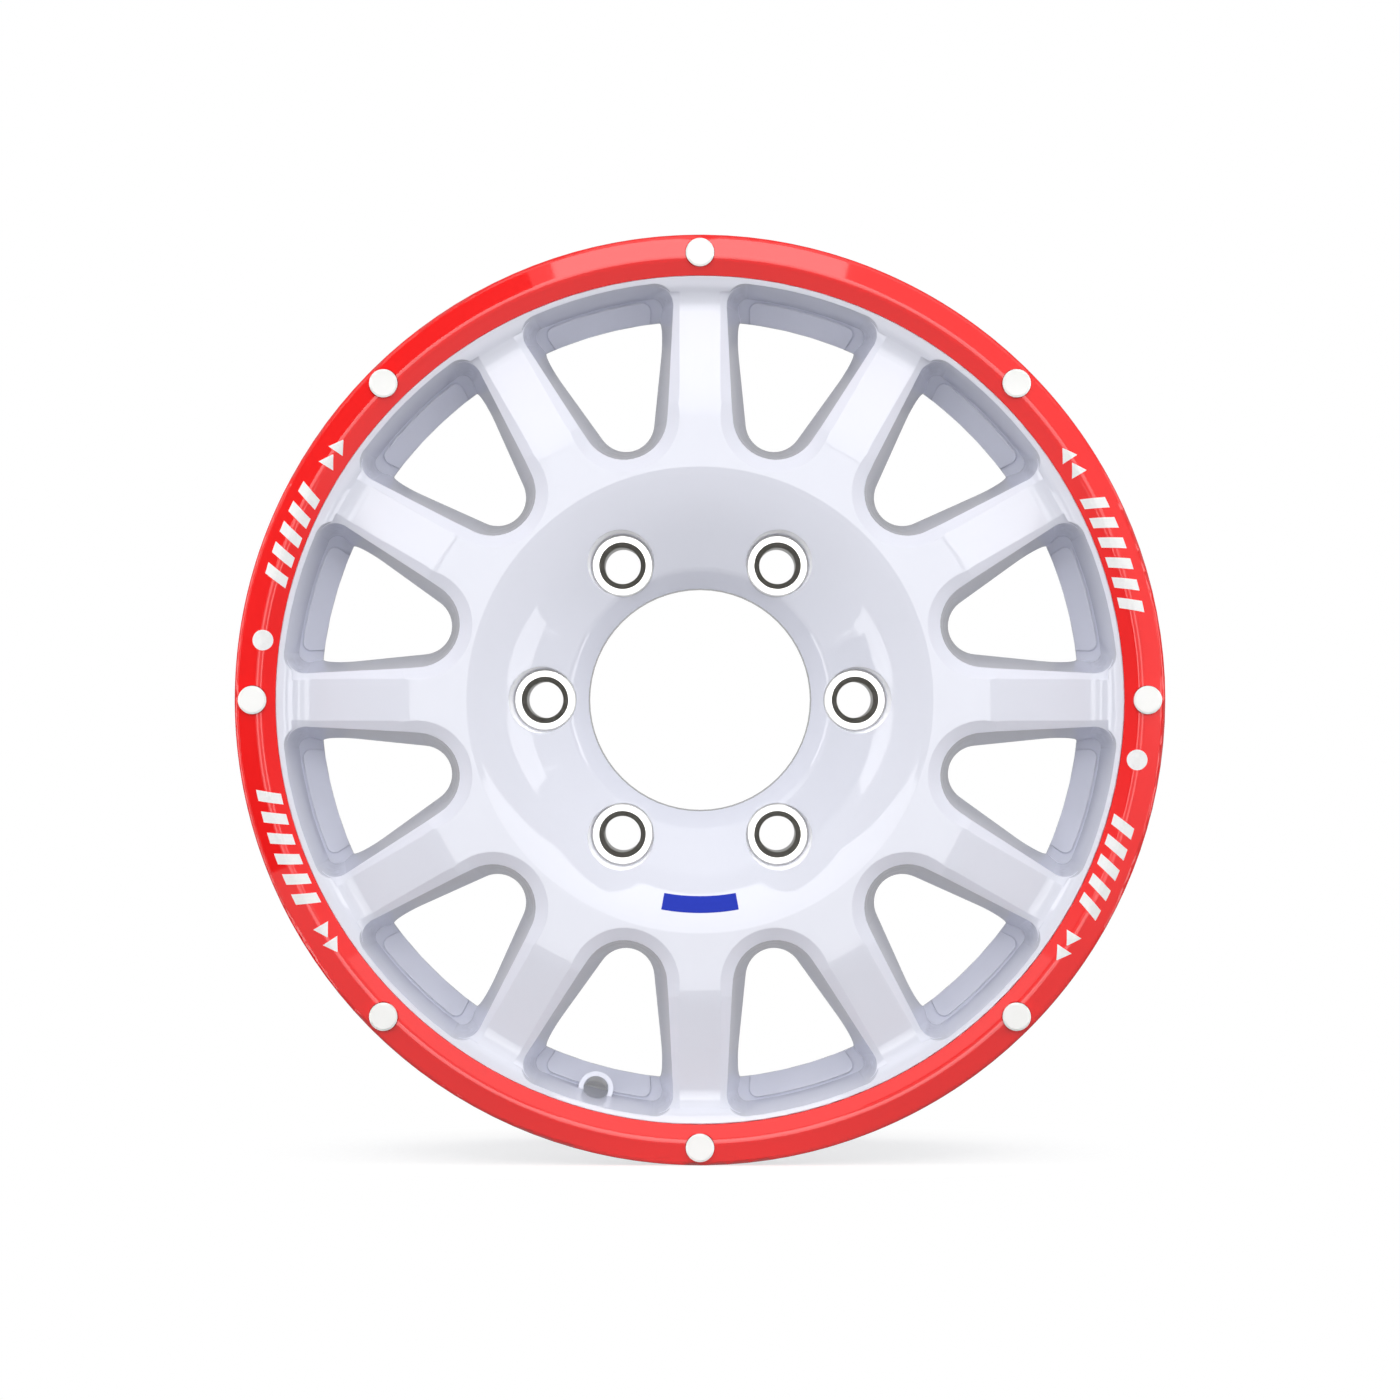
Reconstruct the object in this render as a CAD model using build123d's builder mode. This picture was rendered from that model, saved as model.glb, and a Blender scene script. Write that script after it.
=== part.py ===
"""Beadlock wheel, 15 by 7 inch, six stud.

A cast wheel, the ring bolted to its outer flange, the ring bolts, their threaded inserts and the stud bushes.
Frame: the spin axis is Y, the front faces -Y, Z is up, and the hub mounting face lies in Y = 0.
All sizes are in millimetres. A depth is measured inboard from the crown of the ring.
"""
import os
from math import atan, cos, radians, sin, sqrt, tan

from build123d import *

os.makedirs("parts", exist_ok=True)

# Rim contour
RIM_WIDTH = 177.8
OFFSET = 36.0
BEAD_SEAT_RADIUS = 190.1
BEAD_SEAT_TAPER = 5.0
BEAD_SEAT_WIDTH = 20.0
HUMP_HEIGHT = 1.3
HUMP_WIDTH = 4.5
FLANGE_HEIGHT = 17.3
FLANGE_THICKNESS = 9.0
REAR_LIP_WIDTH = 9.0
REAR_ROOT_SHIFT = 1.0
WELL_DROP = 9.9
WELL_WIDTH = 40.0
WELL_DRAFT = 3.2
WALL = 5.7
BARREL_DROP = 3.7
BARREL_RISE = 1.0
BARREL_RAMP = 20.0

# Rounds of the rim contour
FLANGE_FRONT_ROUND = 1.0
FLANGE_BACK_ROUND = 4.5
FLANGE_ROOT_ROUND = 6.5
SEAT_END_ROUND = 2.0
HUMP_ROUND = 1.8
WELL_FRONT_ROUND = 8.0
WELL_BACK_ROUND = 12.0
BARREL_ROUND = 25.0
REAR_FLANGE_ROUND = 3.0
REAR_ROOT_ROUND = 12.0

# Hub
STUD_COUNT = 6
STUD_CIRCLE = 139.7
CENTRE_BORE = 100.5
BORE_CHAMFER = 8.5
BORE_EDGE_ROUND = 9.0
HUB_RADIUS = 93.0
HUB_FLARE = 6.0
HUB_SHOULDER_DEPTH = 50.0
HUB_SHOULDER_ROUND = 10.0
HUB_EDGE_ROUND = 1.5
REAR_CHAMFER = 2.0

# Front face, from the bore out to the spigot that centres the ring
DISH_DEPTH = 22.0
DISH_KNEE_RADIUS = 89.0
DISH_KNEE_DEPTH = 7.8
DISH_ROUND = 100.0
DISH_EDGE_RADIUS = 104.7
DISH_EDGE_ROUND = 3.0
PLATEAU_DEPTH = 5.0
CREASE_RADIUS = 133.1
CREASE_ROUND = 75.0
SPOKE_END_DEPTH = 12.0
RAMP_RUN = 6.1
RAMP_ROUND = 10.0
LAND_WIDTH = 4.6
LAND_DEPTH = 6.6
LAND_ROUND = 6.0
SPIGOT_HEIGHT = 0.1
SPIGOT_DEPTH = 5.0
SPIGOT_ROUND = 0.3

# Spokes and windows
SPOKE_COUNT = 12
SPOKE_HALF_INNER = 13.95
SPOKE_HALF_INNER_AT = 128.8
SPOKE_HALF_OUTER = 11.87
SPOKE_HALF_OUTER_AT = 158.7
SPOKE_DRAFT = 9.0
WINDOW_MARGIN = 2.2
WINDOW_RIM_DRAFT = 7.85
WINDOW_CORNER_ROUND = 9.5
WINDOW_BACK_CORNER_ROUND = 3.0
WINDOW_INNER_ROUND = 20.0
WINDOW_BACK_INNER_ROUND = 10.75
WINDOW_START_DEPTH = 4.0
WINDOW_END_DEPTH = 57.0
WINDOW_OVERRUN = 5.0
PAD_SIDE_MARGIN = 11.7
PAD_RIM_MARGIN = 1.5
PAD_CORNER_ROUND = 3.5
PAD_GROOVE = 1.2
SPOKE_BACK_RIM_DEPTH = 35.0
SPOKE_BACK_RIM_ROUND = 14.0
SPOKE_BACK_HUB_DEPTH = 46.0
SPOKE_BACK_HUB_RADIUS = 122.0
SPOKE_BACK_HUB_ROUND = 30.0

# Bevel along the spoke edges and round the inner end of each window
BEVEL_SLOPE = 25.0
BEVEL_INNER_ROUND = 24.8
BEVEL_CORNER_ROUND = 1.0
BEVEL_DEPTH = 4.5
BEVEL_REACH = 9.0
BEVEL_OVERRUN = 1.5
BEVEL_HEADROOM = 4.0
BEVEL_PAST_CREASE = 29.8
BEVEL_RAMP_PAST = 0.25
FLAT_HALF = 9.2
END_BEVEL_RISE = 1.0

# Hollows in the back of the hub and of the spokes
HUB_POCKET_RADIUS = 11.0
HUB_POCKET_DEPTH = 24.0
HUB_POCKET_DRAFT = 4.0
BACK_SLOT_WIDTH = 17.0
BACK_SLOT_INNER = 117.0
BACK_SLOT_MARGIN = 11.0
BACK_SLOT_START = 60.0
BACK_SLOT_FLOOR = 28.0
BACK_SLOT_DRAFT = 6.0

# Valve hole and its boss
VALVE_ANGLE = 195.0
VALVE_TILT = 10.0
VALVE_INSET = 7.4
VALVE_HOLE = 11.3
VALVE_REACH = 24.0
VALVE_APPROACH = 30.0
VALVE_BOSS = 16.0
VALVE_BOSS_HEIGHT = 5.0
VALVE_BOSS_DEPTH = 16.0

# Ring
RING_OVERHANG = 1.1
RING_THICKNESS = 8.0
RING_FIT = 0.05
RING_CROWN_INSET = 11.0
RING_CROWN_ROUND = 5.0
RING_OUTER_DEPTH = 2.7
RING_EDGE_ROUND = 2.3
RING_BACK_ROUND = 1.0
RING_INNER_DEPTH = 4.6
RING_INNER_ROUND = 0.3

# Ring bolts and their inserts
BOLT_COUNT = 8
BOLT_INSET = 8.2
BOLT_HEAD = 12.65
BOLT_HEAD_HEIGHT = 4.5
BOLT_HEAD_CHAMFER = 0.9
BOLT_HEAD_CHAMFER_DROP = 0.3
BOLT_SEAT_DEPTH = 2.4
BOLT_SEAT_FIT = 0.375
BOLT_SHANK = 8.0
BOLT_HOLE_FIT = 0.3
BOLT_TIP_GAP = 0.8
BOLT_TIP_CHAMFER = 0.8
BOLT_FIT = 0.05
INSERT_WALL = 1.5
INSERT_LENGTH = 7.0
INSERT_FIT = 0.05

# Stud bushes
BUSH_HEAD = 28.0
BUSH_SLEEVE = 22.0
BUSH_HOLE = 16.4
BUSH_CONE = 21.1
BUSH_CONE_ANGLE = 60.0
BUSH_FACE_DEPTH = 20.5
BUSH_HEAD_LENGTH = 12.0
BUSH_FIT = 0.05
BUSH_CHAMFER = 0.8
BUSH_POCKET_DRAFT = 11.0

# Positions along the axis that follow from the sizes above
OUTER_FLANGE_Y = OFFSET - RIM_WIDTH / 2
INNER_FLANGE_Y = OFFSET + RIM_WIDTH / 2
RING_SEAT_Y = OUTER_FLANGE_Y - FLANGE_THICKNESS
CROWN_Y = RING_SEAT_Y - RING_THICKNESS
MOUNT_Y = 0.0

# Radii and angles that follow from the sizes above
FLANGE_RADIUS = BEAD_SEAT_RADIUS + FLANGE_HEIGHT
WELL_RADIUS = BEAD_SEAT_RADIUS - WELL_DROP
BARREL_RADIUS = BEAD_SEAT_RADIUS - BARREL_DROP
RING_RADIUS = FLANGE_RADIUS + RING_OVERHANG
BOLT_RADIUS = RING_RADIUS - BOLT_INSET
SPIGOT_RADIUS = BEAD_SEAT_RADIUS + SPIGOT_HEIGHT
LAND_RADIUS = SPIGOT_RADIUS - LAND_WIDTH
SPOKE_END_RADIUS = LAND_RADIUS - RAMP_RUN
WINDOW_RADIUS = SPIGOT_RADIUS - WINDOW_MARGIN
VALVE_RADIUS = SPIGOT_RADIUS - VALVE_INSET
HALF_PITCH = 180.0 / SPOKE_COUNT
HALF_STUD_PITCH = 180.0 / STUD_COUNT


def axial(depth):
    """Y of a depth measured inboard from the ring crown."""
    return CROWN_Y + depth


def front_plane(depth):
    """Plane across the axis at a depth, facing the front."""
    return Plane.XZ.offset(-axial(depth))


def around(part, count, start):
    """Copies of a part spread evenly about the spin axis."""
    return [part.rotate(Axis.Y, start + index * 360.0 / count) for index in range(count)]


def window_outline(inner_half, outer_half, inner_round, outer_radius, corner_round):
    """Outline between two spokes, pointing up, from the spoke half widths at two radii."""
    across, along = sin(radians(HALF_PITCH)), cos(radians(HALF_PITCH))
    taper = (outer_half - inner_half) / (SPOKE_HALF_OUTER_AT - SPOKE_HALF_INNER_AT)

    def edge_point(radius):
        half = inner_half + taper * (radius - SPOKE_HALF_INNER_AT)
        return radius * across - half * along, radius * along + half * across

    x_near, y_near = edge_point(SPOKE_HALF_INNER_AT)
    x_far, y_far = edge_point(outer_radius + FLANGE_HEIGHT)
    apex_y = y_near - x_near * (y_far - y_near) / (x_far - x_near)
    with BuildSketch() as outline:
        with BuildLine():
            Polyline((0, apex_y), (x_far, y_far), (-x_far, y_far), close=True)
        make_face()
        Circle(outer_radius, mode=Mode.INTERSECT)
        fillet(outline.vertices().sort_by(Axis.Y)[0], inner_round)
        fillet(outline.vertices().sort_by(Axis.X)[-1], corner_round)
        fillet(outline.vertices().sort_by(Axis.X)[0], corner_round)
    return outline.sketch


# Turning points of the casting profile
bore = CENTRE_BORE / 2
seat_end_radius = BEAD_SEAT_RADIUS - BEAD_SEAT_WIDTH * tan(radians(BEAD_SEAT_TAPER))
hump_radius = seat_end_radius + HUMP_HEIGHT
seat_end_y = OUTER_FLANGE_Y + BEAD_SEAT_WIDTH
drop_y = seat_end_y + HUMP_WIDTH
well_start_y = drop_y + seat_end_radius - WELL_RADIUS
well_end_y = well_start_y + WELL_WIDTH
barrel_y = well_end_y + BARREL_RAMP
rear_seat_y = INNER_FLANGE_Y - BEAD_SEAT_WIDTH
rear_barrel_y = rear_seat_y - HUMP_WIDTH
rear_barrel_radius = BARREL_RADIUS + BARREL_RISE
rear_y = INNER_FLANGE_Y + FLANGE_THICKNESS


def well_inner(y):
    """Radius of the drafted inner wall of the well."""
    return WELL_RADIUS - WALL - (well_end_y - y) * tan(radians(WELL_DRAFT))


# Casting profile, as radius, Y and corner radius
profile = [
    (bore, axial(DISH_DEPTH + BORE_CHAMFER), 0),
    (bore + BORE_CHAMFER, axial(DISH_DEPTH), BORE_EDGE_ROUND),
    (DISH_KNEE_RADIUS, axial(DISH_KNEE_DEPTH), DISH_ROUND),
    (DISH_EDGE_RADIUS, axial(PLATEAU_DEPTH), DISH_EDGE_ROUND),
    (CREASE_RADIUS, axial(PLATEAU_DEPTH), CREASE_ROUND),
    (SPOKE_END_RADIUS, axial(SPOKE_END_DEPTH), RAMP_ROUND),
    (LAND_RADIUS, axial(LAND_DEPTH), LAND_ROUND),
    (SPIGOT_RADIUS, axial(SPIGOT_DEPTH), SPIGOT_ROUND),
    (SPIGOT_RADIUS, RING_SEAT_Y, 0),
    (FLANGE_RADIUS, RING_SEAT_Y, FLANGE_FRONT_ROUND),
    (FLANGE_RADIUS, OUTER_FLANGE_Y, FLANGE_BACK_ROUND),
    (BEAD_SEAT_RADIUS, OUTER_FLANGE_Y, FLANGE_ROOT_ROUND),
    (seat_end_radius, seat_end_y, SEAT_END_ROUND),
    (hump_radius, seat_end_y + HUMP_WIDTH / 2, HUMP_ROUND),
    (seat_end_radius, drop_y, SEAT_END_ROUND),
    (WELL_RADIUS, well_start_y, WELL_FRONT_ROUND),
    (WELL_RADIUS, well_end_y, WELL_BACK_ROUND),
    (BARREL_RADIUS, barrel_y, BARREL_ROUND),
    (rear_barrel_radius, rear_barrel_y, SEAT_END_ROUND),
    (hump_radius, rear_seat_y - HUMP_WIDTH / 2, HUMP_ROUND),
    (seat_end_radius, rear_seat_y, SEAT_END_ROUND),
    (BEAD_SEAT_RADIUS, INNER_FLANGE_Y, FLANGE_ROOT_ROUND),
    (FLANGE_RADIUS, INNER_FLANGE_Y, FLANGE_BACK_ROUND),
    (FLANGE_RADIUS, rear_y, REAR_FLANGE_ROUND),
    (FLANGE_RADIUS - REAR_LIP_WIDTH, rear_y, REAR_FLANGE_ROUND),
    (BEAD_SEAT_RADIUS - WALL, INNER_FLANGE_Y + REAR_ROOT_SHIFT, REAR_ROOT_ROUND),
    (rear_barrel_radius - WALL, rear_barrel_y, BARREL_ROUND),
    (BARREL_RADIUS - WALL, barrel_y, BARREL_ROUND),
    (well_inner(well_end_y), well_end_y, WELL_BACK_ROUND),
    (well_inner(axial(SPOKE_BACK_RIM_DEPTH)), axial(SPOKE_BACK_RIM_DEPTH), SPOKE_BACK_RIM_ROUND),
    (SPOKE_BACK_HUB_RADIUS, axial(SPOKE_BACK_HUB_DEPTH), SPOKE_BACK_HUB_ROUND),
    (HUB_RADIUS + HUB_FLARE, axial(HUB_SHOULDER_DEPTH), HUB_SHOULDER_ROUND),
    (HUB_RADIUS, MOUNT_Y, HUB_EDGE_ROUND),
    (bore + REAR_CHAMFER, MOUNT_Y, 0),
    (bore, MOUNT_Y - REAR_CHAMFER, 0),
]

# Outlines of one window, narrowing inboard
window_depth = WINDOW_END_DEPTH - WINDOW_START_DEPTH
spoke_growth = window_depth * tan(radians(SPOKE_DRAFT))
rim_growth = window_depth * tan(radians(WINDOW_RIM_DRAFT))
window_front = window_outline(
    SPOKE_HALF_INNER,
    SPOKE_HALF_OUTER,
    WINDOW_INNER_ROUND,
    WINDOW_RADIUS,
    WINDOW_CORNER_ROUND,
)
window_back = window_outline(
    SPOKE_HALF_INNER + spoke_growth,
    SPOKE_HALF_OUTER + spoke_growth,
    WINDOW_BACK_INNER_ROUND,
    WINDOW_RADIUS - rim_growth,
    WINDOW_BACK_CORNER_ROUND,
)

# The window stops on a slope that runs one wall behind the drop into the well
slope_sum = drop_y + seat_end_radius - WALL * sqrt(2)
well_ratio = tan(radians(WELL_DRAFT))
rim_ratio = tan(radians(WINDOW_RIM_DRAFT))
slope_back_y = axial(WINDOW_END_DEPTH + WINDOW_OVERRUN)
slope_depth = (slope_sum - CROWN_Y - WINDOW_RADIUS - WINDOW_START_DEPTH * rim_ratio) / (1 - rim_ratio)
pad_radius = slope_sum - axial(slope_depth) - PAD_RIM_MARGIN


def slope_section(sink):
    """Section of the metal behind the slope, sunk square to it."""
    sunk_sum = slope_sum + sink * sqrt(2)
    end_y = (sunk_sum - well_inner(0)) / (1 + well_ratio)
    with BuildSketch() as section:
        with BuildLine():
            Polyline(
                (SPIGOT_RADIUS, sunk_sum - SPIGOT_RADIUS),
                (sunk_sum - end_y, end_y),
                (well_inner(slope_back_y), slope_back_y),
                (SPIGOT_RADIUS, slope_back_y),
                close=True,
            )
        make_face()
    return section.sketch


# Pad on the slope, with a groove between it and the walls of the window
with BuildPart() as window_pad:
    with BuildSketch(front_plane(slope_depth)):
        add(
            window_outline(
                SPOKE_HALF_INNER + PAD_SIDE_MARGIN,
                SPOKE_HALF_OUTER + PAD_SIDE_MARGIN,
                WINDOW_BACK_INNER_ROUND,
                pad_radius,
                PAD_CORNER_ROUND,
            )
        )
    extrude(amount=axial(slope_depth) - slope_back_y)
    with BuildSketch(Plane.XY):
        add(slope_section(0))
    revolve(axis=Axis.Y, mode=Mode.INTERSECT)

with BuildPart() as window_cut:
    with BuildSketch(front_plane(WINDOW_START_DEPTH)):
        add(window_front)
    with BuildSketch(front_plane(WINDOW_END_DEPTH)):
        add(window_back)
    loft(ruled=True)
    with BuildSketch(Plane.XY):
        add(slope_section(PAD_GROOVE))
    revolve(axis=Axis.Y, mode=Mode.SUBTRACT)
    add(window_pad.part, mode=Mode.SUBTRACT)

# Plane of the valve boss face, square to the valve hole
valve_inward = sin(radians(VALVE_TILT))
valve_forward = cos(radians(VALVE_TILT))
valve_face_radius = VALVE_RADIUS - VALVE_BOSS_HEIGHT * valve_inward
valve_across = sin(radians(VALVE_ANGLE))
valve_up = cos(radians(VALVE_ANGLE))
valve_plane = Plane(
    (
        valve_face_radius * valve_across,
        slope_sum - VALVE_RADIUS - VALVE_BOSS_HEIGHT * valve_forward,
        valve_face_radius * valve_up,
    ),
    z_dir=(-valve_inward * valve_across, -valve_forward, -valve_inward * valve_up),
)

# All windows, leaving the valve boss standing in one of them
with BuildPart() as all_windows_cut:
    add(around(window_cut.part, SPOKE_COUNT, HALF_PITCH))
    with BuildSketch(valve_plane):
        Circle(VALVE_BOSS / 2)
    extrude(amount=-VALVE_BOSS_DEPTH, mode=Mode.SUBTRACT)

# Bevel on the plateau round the inner end of one window
with BuildPart() as end_bevel_cut:
    with BuildSketch(front_plane(PLATEAU_DEPTH - END_BEVEL_RISE)):
        add(
            window_outline(
                FLAT_HALF,
                FLAT_HALF,
                BEVEL_INNER_ROUND,
                CREASE_RADIUS + BEVEL_PAST_CREASE,
                BEVEL_CORNER_ROUND,
            )
        )
        offset(amount=END_BEVEL_RISE / tan(radians(BEVEL_SLOPE)))
    extrude(amount=-(END_BEVEL_RISE + BEVEL_DEPTH), taper=90 - BEVEL_SLOPE)

# Bevels along both edges of one spoke, running a little way up the ramp
bevel_ratio = tan(radians(BEVEL_SLOPE))
ramp_ratio = (SPOKE_END_DEPTH - LAND_DEPTH) / RAMP_RUN
spoke_tilt = (SPOKE_END_DEPTH - PLATEAU_DEPTH) / (SPOKE_END_RADIUS - CREASE_RADIUS)
ramp_angle = atan(ramp_ratio)
ramp_foot = RAMP_ROUND * tan((atan(spoke_tilt) + ramp_angle) / 2) + BEVEL_RAMP_PAST
bevel_plane = Plane(
    (0, axial(PLATEAU_DEPTH), CREASE_RADIUS),
    x_dir=(1, 0, 0),
    z_dir=(0, spoke_tilt, 1),
)
with BuildPart() as spoke_bevel_cut:
    with BuildLine(Plane.YZ):
        FilletPolyline(
            (axial(PLATEAU_DEPTH), CREASE_RADIUS),
            (axial(SPOKE_END_DEPTH), SPOKE_END_RADIUS),
            (
                axial(SPOKE_END_DEPTH) - ramp_foot * sin(ramp_angle),
                SPOKE_END_RADIUS + ramp_foot * cos(ramp_angle),
            ),
            radius=RAMP_ROUND,
        )
    with BuildSketch(bevel_plane):
        with BuildLine():
            Polyline(
                (FLAT_HALF - BEVEL_OVERRUN, -BEVEL_OVERRUN * bevel_ratio),
                (FLAT_HALF + BEVEL_REACH, BEVEL_REACH * bevel_ratio),
                (FLAT_HALF + BEVEL_REACH, -BEVEL_HEADROOM),
                (FLAT_HALF - BEVEL_OVERRUN, -BEVEL_HEADROOM),
                close=True,
            )
        make_face()
        mirror(about=Plane.YZ)
    sweep()

# Hollow in the back of one spoke
back_slot_outer = well_inner(axial(SPOKE_BACK_RIM_DEPTH)) - BACK_SLOT_MARGIN
with BuildPart() as back_slot_cut:
    with BuildSketch(front_plane(BACK_SLOT_START)):
        with Locations((0, (BACK_SLOT_INNER + back_slot_outer) / 2)):
            SlotOverall(back_slot_outer - BACK_SLOT_INNER, BACK_SLOT_WIDTH, rotation=90)
    extrude(amount=BACK_SLOT_START - BACK_SLOT_FLOOR, taper=BACK_SLOT_DRAFT)

# Hollow in the hub face between two studs
with BuildPart() as hub_pocket_cut:
    with BuildSketch(Plane.XZ):
        with Locations((0, STUD_CIRCLE / 2)):
            Circle(HUB_POCKET_RADIUS)
    extrude(amount=HUB_POCKET_DEPTH, taper=HUB_POCKET_DRAFT)

# Seat of one stud bush, opening forward through the dish
bush_shoulder_y = axial(BUSH_FACE_DEPTH + BUSH_HEAD_LENGTH)
bush_mouth = BUSH_HEAD / 2 + BUSH_FIT + BUSH_FACE_DEPTH * tan(radians(BUSH_POCKET_DRAFT))
stud_axis = Axis((0, 0, STUD_CIRCLE / 2), (0, 1, 0))
with BuildPart() as bush_cut:
    with BuildSketch(Plane.XY.offset(STUD_CIRCLE / 2)):
        with BuildLine():
            Polyline(
                (0, CROWN_Y),
                (bush_mouth, CROWN_Y),
                (BUSH_HEAD / 2 + BUSH_FIT, axial(BUSH_FACE_DEPTH)),
                (BUSH_HEAD / 2 + BUSH_FIT, bush_shoulder_y),
                (BUSH_SLEEVE / 2 + BUSH_FIT, bush_shoulder_y),
                (BUSH_SLEEVE / 2 + BUSH_FIT, MOUNT_Y),
                (0, MOUNT_Y),
                close=True,
            )
        make_face()
    revolve(axis=stud_axis)

# Blind hole for one insert
insert_radius = BOLT_SHANK / 2 + INSERT_WALL
with BuildPart() as insert_cut:
    with BuildSketch(Plane.XZ.offset(-RING_SEAT_Y)):
        with Locations((0, BOLT_RADIUS)):
            Circle(insert_radius + INSERT_FIT)
    extrude(amount=-INSERT_LENGTH)

# Wheel casting
with BuildPart() as wheel_casting:
    with BuildSketch(Plane.XY):
        with BuildLine():
            FilletPolyline(*[(r, y) for r, y, _ in profile], radius=[c for _, _, c in profile], close=True)
        make_face()
    revolve(axis=Axis.Y)
    add(all_windows_cut.part, mode=Mode.SUBTRACT)
    add(around(end_bevel_cut.part, SPOKE_COUNT, HALF_PITCH), mode=Mode.SUBTRACT)
    add(around(spoke_bevel_cut.part, SPOKE_COUNT, 0), mode=Mode.SUBTRACT)
    add(around(back_slot_cut.part, SPOKE_COUNT, 0), mode=Mode.SUBTRACT)
    add(around(hub_pocket_cut.part, STUD_COUNT, 0), mode=Mode.SUBTRACT)
    add(around(bush_cut.part, STUD_COUNT, HALF_STUD_PITCH), mode=Mode.SUBTRACT)
    add(around(insert_cut.part, BOLT_COUNT, 0), mode=Mode.SUBTRACT)
    with BuildSketch(valve_plane.offset(VALVE_APPROACH)):
        Circle(VALVE_HOLE / 2)
    extrude(amount=-(VALVE_APPROACH + VALVE_REACH), mode=Mode.SUBTRACT)
wheel_casting.part.label = "wheel_casting"
export_step(wheel_casting.part, "parts/wheel_casting.step")

# Seat and hole for one bolt in the ring
with BuildPart() as bolt_cut:
    with BuildSketch(Plane.XZ.offset(-RING_SEAT_Y)):
        with Locations((0, BOLT_RADIUS)):
            Circle(BOLT_SHANK / 2 + BOLT_HOLE_FIT)
    extrude(amount=RING_THICKNESS)
    with BuildSketch(front_plane(BOLT_SEAT_DEPTH)):
        with Locations((0, BOLT_RADIUS)):
            Circle(BOLT_HEAD / 2 + BOLT_SEAT_FIT)
    extrude(amount=RING_THICKNESS)

# Ring
ring_inner = SPIGOT_RADIUS + RING_FIT
with BuildPart() as beadlock_ring:
    with BuildSketch(Plane.XY):
        with BuildLine():
            FilletPolyline(
                (ring_inner, RING_SEAT_Y),
                (RING_RADIUS, RING_SEAT_Y),
                (RING_RADIUS, axial(RING_OUTER_DEPTH)),
                (RING_RADIUS - RING_CROWN_INSET, CROWN_Y),
                (ring_inner, axial(RING_INNER_DEPTH)),
                radius=[0, RING_BACK_ROUND, RING_EDGE_ROUND, RING_CROWN_ROUND, RING_INNER_ROUND],
                close=True,
            )
        make_face()
    revolve(axis=Axis.Y)
    add(around(bolt_cut.part, BOLT_COUNT, 0), mode=Mode.SUBTRACT)
beadlock_ring.part.label = "beadlock_ring"
export_step(beadlock_ring.part, "parts/beadlock_ring.step")

# Ring bolt, drawn at the top of the ring
head_front_y = axial(BOLT_SEAT_DEPTH) - BOLT_HEAD_HEIGHT
bolt_tip_y = RING_SEAT_Y + INSERT_LENGTH - BOLT_TIP_GAP
bolt_axis = Axis((0, 0, BOLT_RADIUS), (0, 1, 0))
with BuildPart() as ring_bolt:
    with BuildSketch(Plane.XY.offset(BOLT_RADIUS)):
        with BuildLine():
            Polyline(
                (0, head_front_y),
                (BOLT_HEAD / 2 - BOLT_HEAD_CHAMFER, head_front_y),
                (BOLT_HEAD / 2, head_front_y + BOLT_HEAD_CHAMFER_DROP),
                (BOLT_HEAD / 2, axial(BOLT_SEAT_DEPTH)),
                (BOLT_SHANK / 2, axial(BOLT_SEAT_DEPTH)),
                (BOLT_SHANK / 2, bolt_tip_y - BOLT_TIP_CHAMFER),
                (BOLT_SHANK / 2 - BOLT_TIP_CHAMFER, bolt_tip_y),
                (0, bolt_tip_y),
                close=True,
            )
        make_face()
    revolve(axis=bolt_axis)

# Threaded insert, flush with the ring seat
with BuildPart() as ring_insert:
    with BuildSketch(Plane.XZ.offset(-RING_SEAT_Y)):
        with Locations((0, BOLT_RADIUS)):
            Circle(insert_radius)
            Circle(BOLT_SHANK / 2 + BOLT_FIT, mode=Mode.SUBTRACT)
    extrude(amount=-INSERT_LENGTH)

# Stud bush, cone seat at the front, sleeve flush with the hub face
cone_length = (BUSH_CONE - BUSH_HOLE) / 2 / tan(radians(BUSH_CONE_ANGLE / 2))
with BuildPart() as lug_bush:
    with BuildSketch(Plane.XY.offset(STUD_CIRCLE / 2)):
        with BuildLine():
            Polyline(
                (BUSH_HOLE / 2, axial(BUSH_FACE_DEPTH) + cone_length),
                (BUSH_CONE / 2, axial(BUSH_FACE_DEPTH)),
                (BUSH_HEAD / 2 - BUSH_CHAMFER, axial(BUSH_FACE_DEPTH)),
                (BUSH_HEAD / 2, axial(BUSH_FACE_DEPTH) + BUSH_CHAMFER),
                (BUSH_HEAD / 2, bush_shoulder_y),
                (BUSH_SLEEVE / 2, bush_shoulder_y),
                (BUSH_SLEEVE / 2, MOUNT_Y),
                (BUSH_HOLE / 2, MOUNT_Y),
                close=True,
            )
        make_face()
    revolve(axis=stud_axis)


def export_copies(name, copies):
    """Write each copy of a repeated piece as its own numbered file."""
    for number, copy in enumerate(copies, start=1):
        copy.label = f"{name}_{number}"
        export_step(copy, f"parts/{name}_{number}.step")


export_copies("ring_bolt", around(ring_bolt.part, BOLT_COUNT, 0))
export_copies("ring_insert", around(ring_insert.part, BOLT_COUNT, 0))
export_copies("lug_bush", around(lug_bush.part, STUD_COUNT, HALF_STUD_PITCH))
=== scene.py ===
"""Beadlock wheel with its paint, steel, printed marks, studio and camera. Units are metres."""

import math

import bmesh
import bpy
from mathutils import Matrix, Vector
from mathutils.bvhtree import BVHTree


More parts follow.
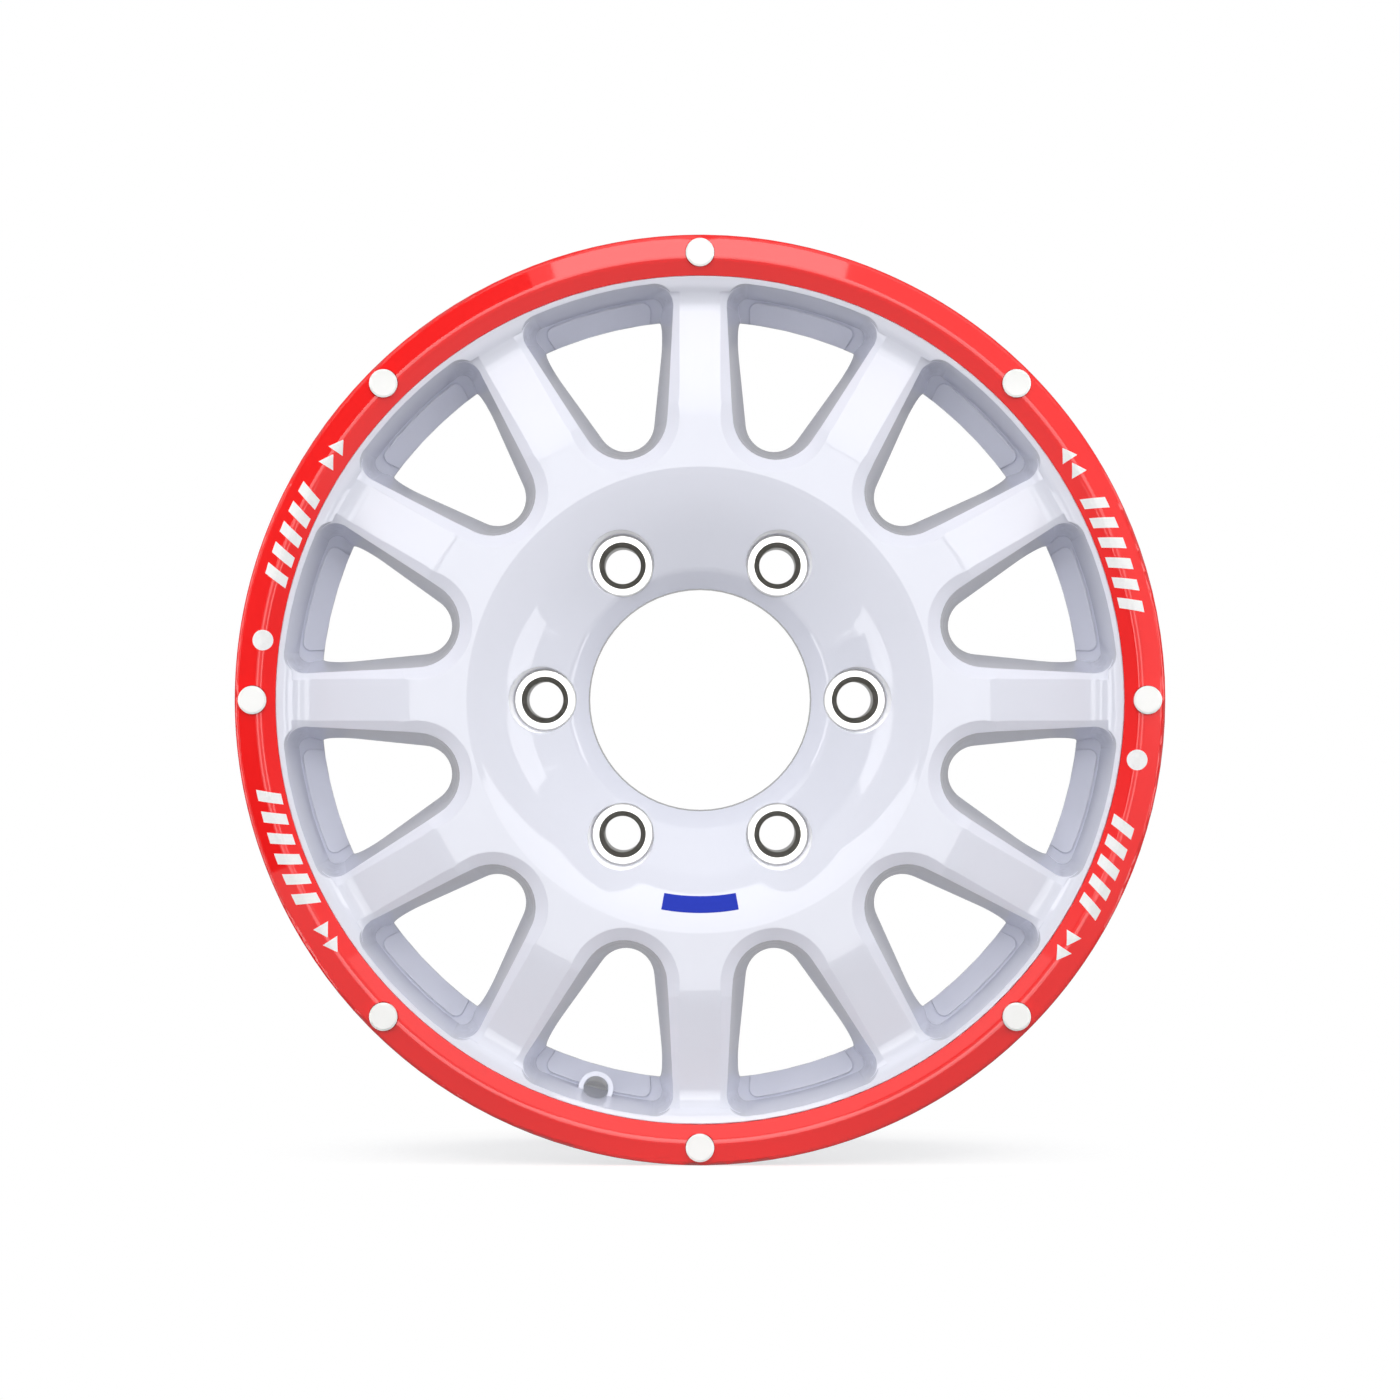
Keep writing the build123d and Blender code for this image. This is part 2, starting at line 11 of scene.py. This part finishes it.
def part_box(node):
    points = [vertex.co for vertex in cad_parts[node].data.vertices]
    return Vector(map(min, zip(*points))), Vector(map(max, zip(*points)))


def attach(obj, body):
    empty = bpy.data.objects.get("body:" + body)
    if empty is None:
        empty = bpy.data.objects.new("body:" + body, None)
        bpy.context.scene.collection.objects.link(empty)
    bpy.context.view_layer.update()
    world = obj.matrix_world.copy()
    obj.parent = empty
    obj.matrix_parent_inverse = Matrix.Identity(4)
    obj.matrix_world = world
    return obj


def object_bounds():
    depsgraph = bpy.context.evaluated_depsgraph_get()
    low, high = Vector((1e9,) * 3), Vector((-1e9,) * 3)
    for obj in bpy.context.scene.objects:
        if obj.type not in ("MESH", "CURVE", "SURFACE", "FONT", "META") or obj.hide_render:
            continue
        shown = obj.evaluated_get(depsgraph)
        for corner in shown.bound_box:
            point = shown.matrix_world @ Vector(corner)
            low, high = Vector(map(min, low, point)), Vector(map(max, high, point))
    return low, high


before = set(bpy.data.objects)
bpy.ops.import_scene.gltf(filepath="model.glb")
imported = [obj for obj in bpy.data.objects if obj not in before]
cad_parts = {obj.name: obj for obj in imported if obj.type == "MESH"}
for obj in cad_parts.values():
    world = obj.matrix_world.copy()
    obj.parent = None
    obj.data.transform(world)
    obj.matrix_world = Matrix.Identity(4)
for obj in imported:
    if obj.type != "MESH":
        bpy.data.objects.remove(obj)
cad_low, cad_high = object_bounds()

MM = 0.001

# Camera: size of the photograph and radius of the ring in pixels, distance from the ring's crown
IMAGE_SIZE = 1400
RING_RADIUS_PIXELS = 466.0
CAMERA_DISTANCE = 3.0
SENSOR_WIDTH = 36.0  # millimetres

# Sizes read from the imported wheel
ring_low, ring_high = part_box("beadlock_ring")
ring_radius = (ring_high.x - ring_low.x) / 2
crown_y = ring_low.y
middle_y = (cad_low.y + cad_high.y) / 2
floor_z = cad_low.z

# Colours, linear
PAINT_WHITE = (0.795, 0.81, 0.905, 1)
RING_RED = (0.97, 0.002, 0.002, 1)
BOLT_WHITE = (0.93, 0.93, 0.91, 1)
STEEL = (0.86, 0.85, 0.82, 1)
ZINC = (0.62, 0.62, 0.60, 1)
MARK_WHITE = (0.95, 0.95, 0.95, 1)
MARK_BLUE = (0.016, 0.04, 0.5, 1)
PLAIN_WHITE = (1, 1, 1, 1)

# Gloss paint: clouding and orange peel, scales in waves per metre, tones as factors of the colour
CLOUD_SCALE = 22.0
CLOUD_DETAIL = 3.0
CLOUD_TONES = (0.975, 1.02)
PEEL_SCALE = 650.0
PEEL_DETAIL = 2.0
PEEL_STRENGTH = 0.04
PEEL_DEPTH = 0.05 * MM
PAINT_ROUGHNESS = 0.42
PAINT_SPECULAR = 0.2
COAT_ROUGHNESS = 0.035

# Printed ink: mottle and grain, scales in waves per metre
MOTTLE_SCALE = 900.0
MOTTLE_DETAIL = 4.0
MOTTLE_TONES = (0.95, 1.04)
GRAIN_SCALE = 3000.0
GRAIN_DETAIL = 2.0
GRAIN_STRENGTH = 0.05
GRAIN_DEPTH = 0.02 * MM
INK_ROUGHNESS = 0.6
INK_SPECULAR = 0.2

# Turned metal: tool rings, their scale taken over the width of a piece
TOOL_TONES = (0.93, 1.05)
TOOL_DISTORTION = 0.6
TOOL_DETAIL = 2.0
TOOL_STRENGTH = 0.08
TOOL_DEPTH = 0.02 * MM
ANISOTROPY = 0.7
BUSH_ROUGHNESS = 0.34
BUSH_RINGS = 14.0
INSERT_ROUGHNESS = 0.3
INSERT_RINGS = 10.0

# Rounding of sharp edges in the shading
CASTING_EDGE = 0.7 * MM
RING_EDGE = 0.1 * MM
BOLT_EDGE = 0.1 * MM
METAL_EDGE = 0.25 * MM
EDGE_SAMPLES = 6

# Turned front of the ring
CROWN_BAND = (195.70 * MM, 199.57 * MM)  # radii where the crown's arc starts and ends
CROWN_SLOPES = (-0.635, 0.2455)  # slopes of the cones beside the crown
TURNED_TO = 206.0 * MM  # radius where the front ends
FRONT_FACING = -0.7  # a face belongs to the front if the Y of its normal is below this

# Printed marks: angles and lengths along the ring in degrees, clockwise from the top, seen from the front
MARK_ARCS = [(61, 80), (105, 119.5), (240.5, 260), (284, 300)]
MARK_INNER = 192.3 * MM
MARK_OUTER = 202.7 * MM
MARK_PITCH = 2.8
MARK_FILL = 0.52
MARK_SLANT = 1.2
ARROWS = [
    (56.1, -1), (58.4, -1), (122.9, 1), (125.2, 1),
    (236.1, -1), (238.4, -1), (302.9, 1), (305.2, 1),
]
ARROW_LENGTH = 1.75
ARROW_HEIGHT = 7.6 * MM
ARROW_TIP = 0.04
DOT_ANGLES = [97.8, 277.8]
DOT_RADIUS = 4.6 * MM
STRIPE_MIDDLE = 180
STRIPE_ANGLE = 21.0
STRIPE_INNER = 88.0 * MM
STRIPE_OUTER = 95.5 * MM
FILM_RISE = 0.10 * MM
FILM_ROOT = 0.05 * MM
FILM_STEPS = 12
SEARCH_AHEAD = 50.0 * MM

# World: its light, and how dark its mirror image gets to the sides and to the back, by direction
WORLD_LIGHT = 0.37
DARK_SIDES = (0.72, 0.90)
SIDE_GLOSS = 0.2
DARK_BACK = (-0.35, 0.30)
BACK_GLOSS = 0.4

# Black card, its angles clockwise from the top
FLAG_ANGLES = (248, 338)
FLAG_RADII = (0.36, 0.50)
FLAG_AHEAD = 0.44
FLAG_STEPS = 30

# Floor: light that it gives back, where that fades towards the wheel, and the patch that shows the shadow
FLOOR_SIZE = 12.0
FLOOR_GLOW = 0.65
FLOOR_DIFFUSE = 0.50
FLOOR_BOUNCE = 0.34
BOUNCE_FADE = (-0.40, -0.05)
SHADOW_REACH = (0.22, 0.19)
SHADOW_FADE = (0.45, 1.05)

# Lamps: name, degrees right and up, width and height in degrees, radiance, distance, mirrored in gloss
LAMPS = [
    ("front_softbox", 0, -2, 18, 14, 2.5, 3.6, True),
    ("top_softbox", 0, 14, 40, 16, 3.2, 3.6, True),
    ("upper_softbox", 0, 28.5, 21, 13, 3.6, 3.6, True),
    ("ceiling_softbox", 0, 62, 90, 38, 0.7, 1.8, True),
    ("left_strip", -40, 0, 11, 37, 3.0, 3.6, True),
    ("right_strip", 40, 0, 11, 37, 3.0, 3.6, True),
    ("left_softbox", -80, 0, 20, 60, 3.6, 1.5, True),
    ("right_softbox", 80, 0, 20, 60, 3.6, 1.5, True),
    ("rear_softbox", 180, 35, 50, 36, 1.0, 3.0, False),
]

# Vectors
ACROSS_AXIS = (1, 0, 1)
FORWARD = (0, -1, 0)
PIECE_MIDDLE = (0.5, 0.5, 0.5)


# Nodes
def set_inputs(node, values):
    """Sets inputs of a node by name."""
    for name, value in values.items():
        node.inputs[name].default_value = value


def fill_inputs(tree, node, values):
    """Gives the inputs of a node, in their order, outputs of other nodes or plain values."""
    for socket, value in zip(node.inputs, values):
        if isinstance(value, bpy.types.NodeSocket):
            tree.links.new(value, socket)
        else:
            socket.default_value = value


def number_math(tree, operation, *values):
    """Output of one operation on numbers."""
    node = tree.nodes.new("ShaderNodeMath")
    node.operation = operation
    fill_inputs(tree, node, values)
    return node.outputs["Value"]


def vector_math(tree, operation, *values):
    """Outputs of one operation on vectors, called Vector and Value."""
    node = tree.nodes.new("ShaderNodeVectorMath")
    node.operation = operation
    fill_inputs(tree, node, values)
    return node.outputs


def ranged(tree, value, limits, results, course="LINEAR"):
    """A value run from one result to the other between two limits, and held beyond them."""
    node = tree.nodes.new("ShaderNodeMapRange")
    node.interpolation_type = course
    set_inputs(node, {"From Min": limits[0], "From Max": limits[1]})
    set_inputs(node, {"To Min": results[0], "To Max": results[1]})
    tree.links.new(value, node.inputs["Value"])
    return node.outputs["Result"]


def separated(tree, vector):
    """Outputs X, Y and Z of a vector."""
    node = tree.nodes.new("ShaderNodeSeparateXYZ")
    tree.links.new(vector, node.inputs["Vector"])
    return node.outputs


def mixed_shader(tree, factor, first, second):
    """The first shader where the factor is nought, the second where it is one."""
    mix = tree.nodes.new("ShaderNodeMixShader")
    tree.links.new(factor, mix.inputs["Fac"])
    tree.links.new(first, mix.inputs[1])
    tree.links.new(second, mix.inputs[2])
    return mix.outputs["Shader"]


def noise(tree, scale, detail):
    """Factor of a noise texture in object space, scale in waves per metre."""
    coordinates = tree.nodes.new("ShaderNodeTexCoord")
    texture = tree.nodes.new("ShaderNodeTexNoise")
    set_inputs(texture, {"Scale": scale, "Detail": detail})
    tree.links.new(coordinates.outputs["Object"], texture.inputs["Vector"])
    return texture.outputs["Fac"]


def shade(colour, factor):
    """A colour made lighter or darker by a factor."""
    return tuple(min(1.0, channel * factor) for channel in colour[:3]) + (1,)


def toned(tree, factor, colour, tones):
    """A colour that runs from one tone of itself to another with a texture's factor."""
    ramp = tree.nodes.new("ShaderNodeValToRGB")
    for element, tone in zip(ramp.color_ramp.elements, tones):
        element.color = shade(colour, tone)
    tree.links.new(factor, ramp.inputs["Fac"])
    return ramp.outputs["Color"]


def soft_edges(tree, radius):
    """Normal that rounds sharp edges."""
    edge = tree.nodes.new("ShaderNodeBevel")
    edge.samples = EDGE_SAMPLES
    edge.inputs["Radius"].default_value = radius
    return edge.outputs["Normal"]


def relief(tree, height, strength, depth, base=None):
    """Normal of a fine relief, laid on a base normal where there is one."""
    bump = tree.nodes.new("ShaderNodeBump")
    set_inputs(bump, {"Strength": strength, "Distance": depth})
    tree.links.new(height, bump.inputs["Height"])
    if base is not None:
        tree.links.new(base, bump.inputs["Normal"])
    return bump.outputs["Normal"]


# Materials
def new_material(name):
    """A node material, with its node tree and its shader."""
    material = bpy.data.materials.new(name)
    material.use_nodes = True
    return material, material.node_tree, material.node_tree.nodes["Principled BSDF"]


def bare_material(name):
    """A node material that has no shader yet, with its node tree."""
    material, tree, shader = new_material(name)
    tree.nodes.remove(shader)
    return material, tree


def turned_normal(tree, elsewhere):
    """The ring's front as it leaves the lathe: a smooth shading normal there, the given one elsewhere."""
    coordinates = tree.nodes.new("ShaderNodeTexCoord")
    flat = vector_math(tree, "MULTIPLY", coordinates.outputs["Object"], ACROSS_AXIS)["Vector"]
    radius = vector_math(tree, "LENGTH", flat)["Value"]
    outward = vector_math(tree, "NORMALIZE", flat)["Vector"]
    slope = ranged(tree, radius, CROWN_BAND, CROWN_SLOPES)
    lean = vector_math(tree, "MULTIPLY", outward, slope)["Vector"]
    turned = tree.nodes.new("ShaderNodeVectorTransform")
    turned.vector_type = "NORMAL"
    turned.convert_from = "OBJECT"
    turned.convert_to = "WORLD"
    tree.links.new(vector_math(tree, "ADD", lean, FORWARD)["Vector"], turned.inputs["Vector"])
    depth = separated(tree, coordinates.outputs["Normal"])["Y"]
    facing = number_math(tree, "LESS_THAN", depth, FRONT_FACING)
    inside = number_math(tree, "LESS_THAN", radius, TURNED_TO)
    choice = tree.nodes.new("ShaderNodeMix")
    choice.data_type = "VECTOR"
    tree.links.new(number_math(tree, "MULTIPLY", facing, inside), choice.inputs["Factor"])
    # Inputs 4 and 5 and output 1 are the node's sockets for vectors
    tree.links.new(elsewhere, choice.inputs[4])
    tree.links.new(turned.outputs["Vector"], choice.inputs[5])
    return choice.outputs[1]


def gloss_paint(name, colour, edge_round, turned=False):
    """Sprayed paint under a clear coat, with faint clouding and orange peel."""
    material, tree, shader = new_material(name)
    clouds = noise(tree, CLOUD_SCALE, CLOUD_DETAIL)
    tree.links.new(toned(tree, clouds, colour, CLOUD_TONES), shader.inputs["Base Color"])
    peel = noise(tree, PEEL_SCALE, PEEL_DETAIL)
    normal = relief(tree, peel, PEEL_STRENGTH, PEEL_DEPTH, soft_edges(tree, edge_round))
    if turned:
        normal = turned_normal(tree, normal)
    tree.links.new(normal, shader.inputs["Normal"])
    tree.links.new(normal, shader.inputs["Coat Normal"])
    set_inputs(shader, {"Roughness": PAINT_ROUGHNESS, "Specular IOR Level": PAINT_SPECULAR})
    set_inputs(shader, {"Coat Weight": 1.0, "Coat Roughness": COAT_ROUGHNESS})
    return material


def printed_ink(name, colour):
    """Screen printed ink: matt, with a faint mottle and a fine mesh grain."""
    material, tree, shader = new_material(name)
    mottle = noise(tree, MOTTLE_SCALE, MOTTLE_DETAIL)
    tree.links.new(toned(tree, mottle, colour, MOTTLE_TONES), shader.inputs["Base Color"])
    grain = noise(tree, GRAIN_SCALE, GRAIN_DETAIL)
    tree.links.new(relief(tree, grain, GRAIN_STRENGTH, GRAIN_DEPTH), shader.inputs["Normal"])
    set_inputs(shader, {"Roughness": INK_ROUGHNESS, "Specular IOR Level": INK_SPECULAR})
    return material


def turned_metal(name, colour, roughness, ring_scale):
    """Turned metal: fine concentric tool rings about the middle of each piece."""
    material, tree, shader = new_material(name)
    coordinates = tree.nodes.new("ShaderNodeTexCoord")
    centred = vector_math(tree, "SUBTRACT", coordinates.outputs["Generated"], PIECE_MIDDLE)["Vector"]
    rings = tree.nodes.new("ShaderNodeTexWave")
    rings.wave_type = "RINGS"
    rings.rings_direction = "SPHERICAL"
    set_inputs(rings, {"Scale": ring_scale, "Distortion": TOOL_DISTORTION, "Detail": TOOL_DETAIL})
    tree.links.new(vector_math(tree, "MULTIPLY", centred, ACROSS_AXIS)["Vector"], rings.inputs["Vector"])
    wave = rings.outputs["Fac"]
    tree.links.new(toned(tree, wave, colour, TOOL_TONES), shader.inputs["Base Color"])
    normal = relief(tree, wave, TOOL_STRENGTH, TOOL_DEPTH, soft_edges(tree, METAL_EDGE))
    tree.links.new(normal, shader.inputs["Normal"])
    lay = tree.nodes.new("ShaderNodeTangent")
    lay.direction_type = "RADIAL"
    lay.axis = "Y"
    tree.links.new(lay.outputs["Tangent"], shader.inputs["Tangent"])
    set_inputs(shader, {"Anisotropic": ANISOTROPY, "Metallic": 1.0, "Roughness": roughness})
    return material


# Printed marks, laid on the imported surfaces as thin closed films
def surface_of(node):
    """Search tree of a node's mesh, for finding points on its surface."""
    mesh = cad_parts[node].data
    corners = [vertex.co.copy() for vertex in mesh.vertices]
    return BVHTree.FromPolygons(corners, [list(polygon.vertices) for polygon in mesh.polygons])


def front_point(surface, x, z):
    """The point of the surface that is seen straight from the front at x and z."""
    return surface.ray_cast(Vector((x, crown_y - SEARCH_AHEAD, z)), Vector((0, 1, 0)))[0]


def polar(angle, radius):
    """X and Z of a point given by its clockwise angle from the top and its radius."""
    return radius * math.sin(math.radians(angle)), radius * math.cos(math.radians(angle))


def bar_spot(middle):
    """Slanted bar across the ring about one angle."""
    def spot(u, v):
        angle = middle + (u - 0.5) * MARK_PITCH * MARK_FILL + (v - 0.5) * MARK_SLANT
        return polar(angle, MARK_INNER + v * (MARK_OUTER - MARK_INNER))
    return spot


def arrow_spot(middle, way):
    """Arrowhead along the ring, pointing clockwise for a positive way."""
    def spot(u, v):
        width = ARROW_HEIGHT * (1 - (1 - ARROW_TIP) * u)
        angle = middle + way * (u - 0.5) * ARROW_LENGTH
        return polar(angle, (MARK_INNER + MARK_OUTER) / 2 + (v - 0.5) * width)
    return spot


def dot_spot(angle):
    """Round dot in the middle of the ring's marked band."""
    middle_x, middle_z = polar(angle, (MARK_INNER + MARK_OUTER) / 2)

    def spot(u, v):
        across, up = 2 * u - 1, 2 * v - 1
        x = across * math.sqrt(1 - up * up / 2)
        z = up * math.sqrt(1 - across * across / 2)
        return middle_x + DOT_RADIUS * x, middle_z + DOT_RADIUS * z
    return spot


def stripe_spot(u, v):
    """Plain stripe along the lower wall of the dish."""
    angle = STRIPE_MIDDLE + (0.5 - u) * STRIPE_ANGLE
    return polar(angle, STRIPE_INNER + v * (STRIPE_OUTER - STRIPE_INNER))


def film_faces(first):
    """Faces of one closed film whose points are numbered from first on: top, underside and rim."""
    count = FILM_STEPS + 1
    under = first + count * count
    faces = []
    for row in range(FILM_STEPS):
        for column in range(FILM_STEPS):
            corner = row * count + column
            square = (corner, corner + 1, corner + count + 1, corner + count)
            faces.append([first + index for index in square])
            faces.append([under + index for index in reversed(square)])
    last = FILM_STEPS * count
    rim = list(range(FILM_STEPS))
    rim += [step * count + FILM_STEPS for step in range(FILM_STEPS)]
    rim += [last + FILM_STEPS - step for step in range(FILM_STEPS)]
    rim += [last - step * count for step in range(FILM_STEPS)]
    for here, there in zip(rim, rim[1:] + rim[:1]):
        faces.append([first + there, first + here, under + here, under + there])
    return faces


def printed_film(name, node, spots, paint):
    """Thin closed films on a node's front, one for each spot function."""
    surface = surface_of(node)
    points, faces = [], []
    for spot in spots:
        faces += film_faces(len(points))
        seats = []
        for row in range(FILM_STEPS + 1):
            for column in range(FILM_STEPS + 1):
                x, z = spot(column / FILM_STEPS, row / FILM_STEPS)
                seats.append(front_point(surface, x, z))
        points += [seat - Vector((0, FILM_RISE, 0)) for seat in seats]
        points += [seat + Vector((0, FILM_ROOT, 0)) for seat in seats]
    mesh = bpy.data.meshes.new(name)
    mesh.from_pydata(points, [], faces)
    shape = bmesh.new()
    shape.from_mesh(mesh)
    bmesh.ops.recalc_face_normals(shape, faces=shape.faces)
    shape.to_mesh(mesh)
    shape.free()
    mesh.materials.append(paint)
    piece = bpy.data.objects.new(name, mesh)
    bpy.context.collection.objects.link(piece)
    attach(piece, "root")


# Studio: world, floor, black card, lamps and camera
def seen_factor(tree):
    """One for camera, glossy and transmission rays, nought for the rest."""
    path = tree.nodes.new("ShaderNodeLightPath").outputs
    shown = number_math(tree, "MAXIMUM", path["Is Camera Ray"], path["Is Glossy Ray"])
    return number_math(tree, "MAXIMUM", shown, path["Is Transmission Ray"])


def room_gloss(tree):
    """One to the eye. In mirror images the room gets darker to both sides and behind the wheel."""
    coordinates = tree.nodes.new("ShaderNodeTexCoord")
    parts = separated(tree, coordinates.outputs["Generated"])
    aside = number_math(tree, "ABSOLUTE", parts["X"])
    sides = ranged(tree, aside, DARK_SIDES, (1.0, SIDE_GLOSS), "SMOOTHSTEP")
    back = ranged(tree, parts["Y"], DARK_BACK, (1.0, BACK_GLOSS), "SMOOTHSTEP")
    darkest = number_math(tree, "MINIMUM", sides, back)
    path = tree.nodes.new("ShaderNodeLightPath").outputs
    return number_math(tree, "MAXIMUM", path["Is Camera Ray"], darkest)


def pale_world():
    """White to the eye, a pale room with darker sides in mirror images, a plain soft light elsewhere."""
    world = bpy.data.worlds.new("studio_world")
    bpy.context.scene.world = world
    world.use_nodes = True
    tree = world.node_tree
    light = tree.nodes["Background"]
    set_inputs(light, {"Color": PLAIN_WHITE, "Strength": WORLD_LIGHT})
    room = tree.nodes.new("ShaderNodeBackground")
    room.inputs["Color"].default_value = PLAIN_WHITE
    tree.links.new(room_gloss(tree), room.inputs["Strength"])
    seen = seen_factor(tree)
    surface = mixed_shader(tree, seen, light.outputs["Background"], room.outputs["Background"])
    tree.links.new(surface, tree.nodes["World Output"].inputs["Surface"])


def studio_floor():
    """A floor that shows the shadow near the wheel, is white further out and throws light up in front."""
    bpy.ops.mesh.primitive_plane_add(size=FLOOR_SIZE, location=(0, middle_y, floor_z))
    floor = bpy.context.object
    floor.name = "studio_floor"
    material, tree = bare_material("studio_floor")
    seen = seen_factor(tree)
    diffuse = tree.nodes.new("ShaderNodeBsdfDiffuse")
    diffuse.inputs["Color"].default_value = (FLOOR_DIFFUSE,) * 3 + (1,)
    glow = tree.nodes.new("ShaderNodeEmission")
    tree.links.new(number_math(tree, "MULTIPLY", seen, FLOOR_GLOW), glow.inputs["Strength"])
    near = tree.nodes.new("ShaderNodeAddShader")
    tree.links.new(diffuse.outputs["BSDF"], near.inputs[0])
    tree.links.new(glow.outputs["Emission"], near.inputs[1])
    place = tree.nodes.new("ShaderNodeTexCoord").outputs["Object"]
    ahead = ranged(tree, separated(tree, place)["Y"], BOUNCE_FADE, (FLOOR_BOUNCE, 0.0), "SMOOTHSTEP")
    far = tree.nodes.new("ShaderNodeEmission")
    tree.links.new(number_math(tree, "MAXIMUM", seen, ahead), far.inputs["Strength"])
    reach = vector_math(tree, "DIVIDE", place, SHADOW_REACH + (1,))["Vector"]
    distance = vector_math(tree, "LENGTH", reach)["Value"]
    fade = ranged(tree, distance, SHADOW_FADE, (0.0, 1.0), "SMOOTHSTEP")
    surface = mixed_shader(tree, fade, near.outputs["Shader"], far.outputs["Emission"])
    tree.links.new(surface, tree.nodes["Material Output"].inputs["Surface"])
    floor.data.materials.append(material)
    floor.visible_glossy = False


def black_flag():
    """A black card ahead of the wheel, outside its upper left, seen only in mirror images."""
    points, faces = [], []
    start, end = FLAG_ANGLES
    for step in range(FLAG_STEPS + 1):
        for radius in FLAG_RADII:
            x, z = polar(start + (end - start) * step / FLAG_STEPS, radius)
            points.append((x, crown_y - FLAG_AHEAD, z))
    for step in range(FLAG_STEPS):
        corner = 2 * step
        faces.append((corner, corner + 1, corner + 3, corner + 2))
    mesh = bpy.data.meshes.new("black_flag")
    mesh.from_pydata(points, [], faces)
    material, tree = bare_material("black_flag")
    black = tree.nodes.new("ShaderNodeEmission")
    black.inputs["Strength"].default_value = 0.0
    tree.links.new(black.outputs["Emission"], tree.nodes["Material Output"].inputs["Surface"])
    mesh.materials.append(material)
    card = bpy.data.objects.new("black_flag", mesh)
    bpy.context.collection.objects.link(card)
    card.visible_camera = False
    card.visible_diffuse = False
    card.visible_shadow = False


def direction(right, up):
    """Unit vector from the wheel towards a place given in degrees right of and above the camera."""
    across, height = math.radians(right), math.radians(up)
    level = math.cos(height)
    return Vector((math.sin(across) * level, -math.cos(across) * level, math.sin(height)))


def softbox(name, right, up, width, height, radiance, distance, mirrored):
    """A rectangular lamp facing the wheel, its place and size in degrees as the wheel sees them."""
    lamp = bpy.data.lights.new(name, "AREA")
    lamp.shape = "RECTANGLE"
    lamp.size = 2 * distance * math.tan(math.radians(width / 2))
    lamp.size_y = 2 * distance * math.tan(math.radians(height / 2))
    lamp.energy = radiance * math.pi * lamp.size * lamp.size_y
    box = bpy.data.objects.new(name, lamp)
    aim = direction(right, up)
    box.location = Vector((0, crown_y, 0)) + aim * distance
    box.rotation_euler = (-aim).to_track_quat("-Z", "Y").to_euler()
    box.visible_camera = False
    box.visible_glossy = mirrored
    bpy.context.collection.objects.link(box)


def photo_camera():
    """Camera square to the wheel, with the ring as large as in the photograph."""
    data = bpy.data.cameras.new("photo_camera")
    data.sensor_width = SENSOR_WIDTH
    field = IMAGE_SIZE * ring_radius / RING_RADIUS_PIXELS
    data.lens = SENSOR_WIDTH * CAMERA_DISTANCE / field
    camera = bpy.data.objects.new("photo_camera", data)
    camera.location = (0, crown_y - CAMERA_DISTANCE, 0)
    camera.rotation_euler = (math.radians(90), 0, 0)
    bpy.context.collection.objects.link(camera)
    bpy.context.scene.camera = camera


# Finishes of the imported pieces, by the node's name without its number
finishes = {
    "wheel_casting": gloss_paint("casting_paint", PAINT_WHITE, CASTING_EDGE),
    "beadlock_ring": gloss_paint("ring_paint", RING_RED, RING_EDGE, turned=True),
    "ring_bolt": gloss_paint("bolt_finish", BOLT_WHITE, BOLT_EDGE),
    "lug_bush": turned_metal("bush_steel", STEEL, BUSH_ROUGHNESS, BUSH_RINGS),
    "ring_insert": turned_metal("insert_steel", ZINC, INSERT_ROUGHNESS, INSERT_RINGS),
}
for node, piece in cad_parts.items():
    kind = node.rstrip("0123456789").rstrip("_")
    piece.data.materials.clear()
    piece.data.materials.append(finishes[kind])

# Bars, arrowheads and dots on the ring, and the stripe in the dish
mark_white = printed_ink("mark_white", MARK_WHITE)
mark_blue = printed_ink("mark_blue", MARK_BLUE)
for number, (start, end) in enumerate(MARK_ARCS, 1):
    bars = int((end - start) // MARK_PITCH)
    middles = [(start + end) / 2 + (index - (bars - 1) / 2) * MARK_PITCH for index in range(bars)]
    spots = [bar_spot(middle) for middle in middles]
    printed_film(f"ring_marks_{number}", "beadlock_ring", spots, mark_white)
spots = [arrow_spot(middle, way) for middle, way in ARROWS]
printed_film("ring_arrows", "beadlock_ring", spots, mark_white)
spots = [dot_spot(angle) for angle in DOT_ANGLES]
printed_film("ring_dots", "beadlock_ring", spots, mark_white)
printed_film("hub_stripe", "wheel_casting", [stripe_spot], mark_blue)

# The studio around the wheel
pale_world()
studio_floor()
black_flag()
for lamp in LAMPS:
    softbox(*lamp)
photo_camera()
bpy.context.scene.view_settings.view_transform = "Standard"
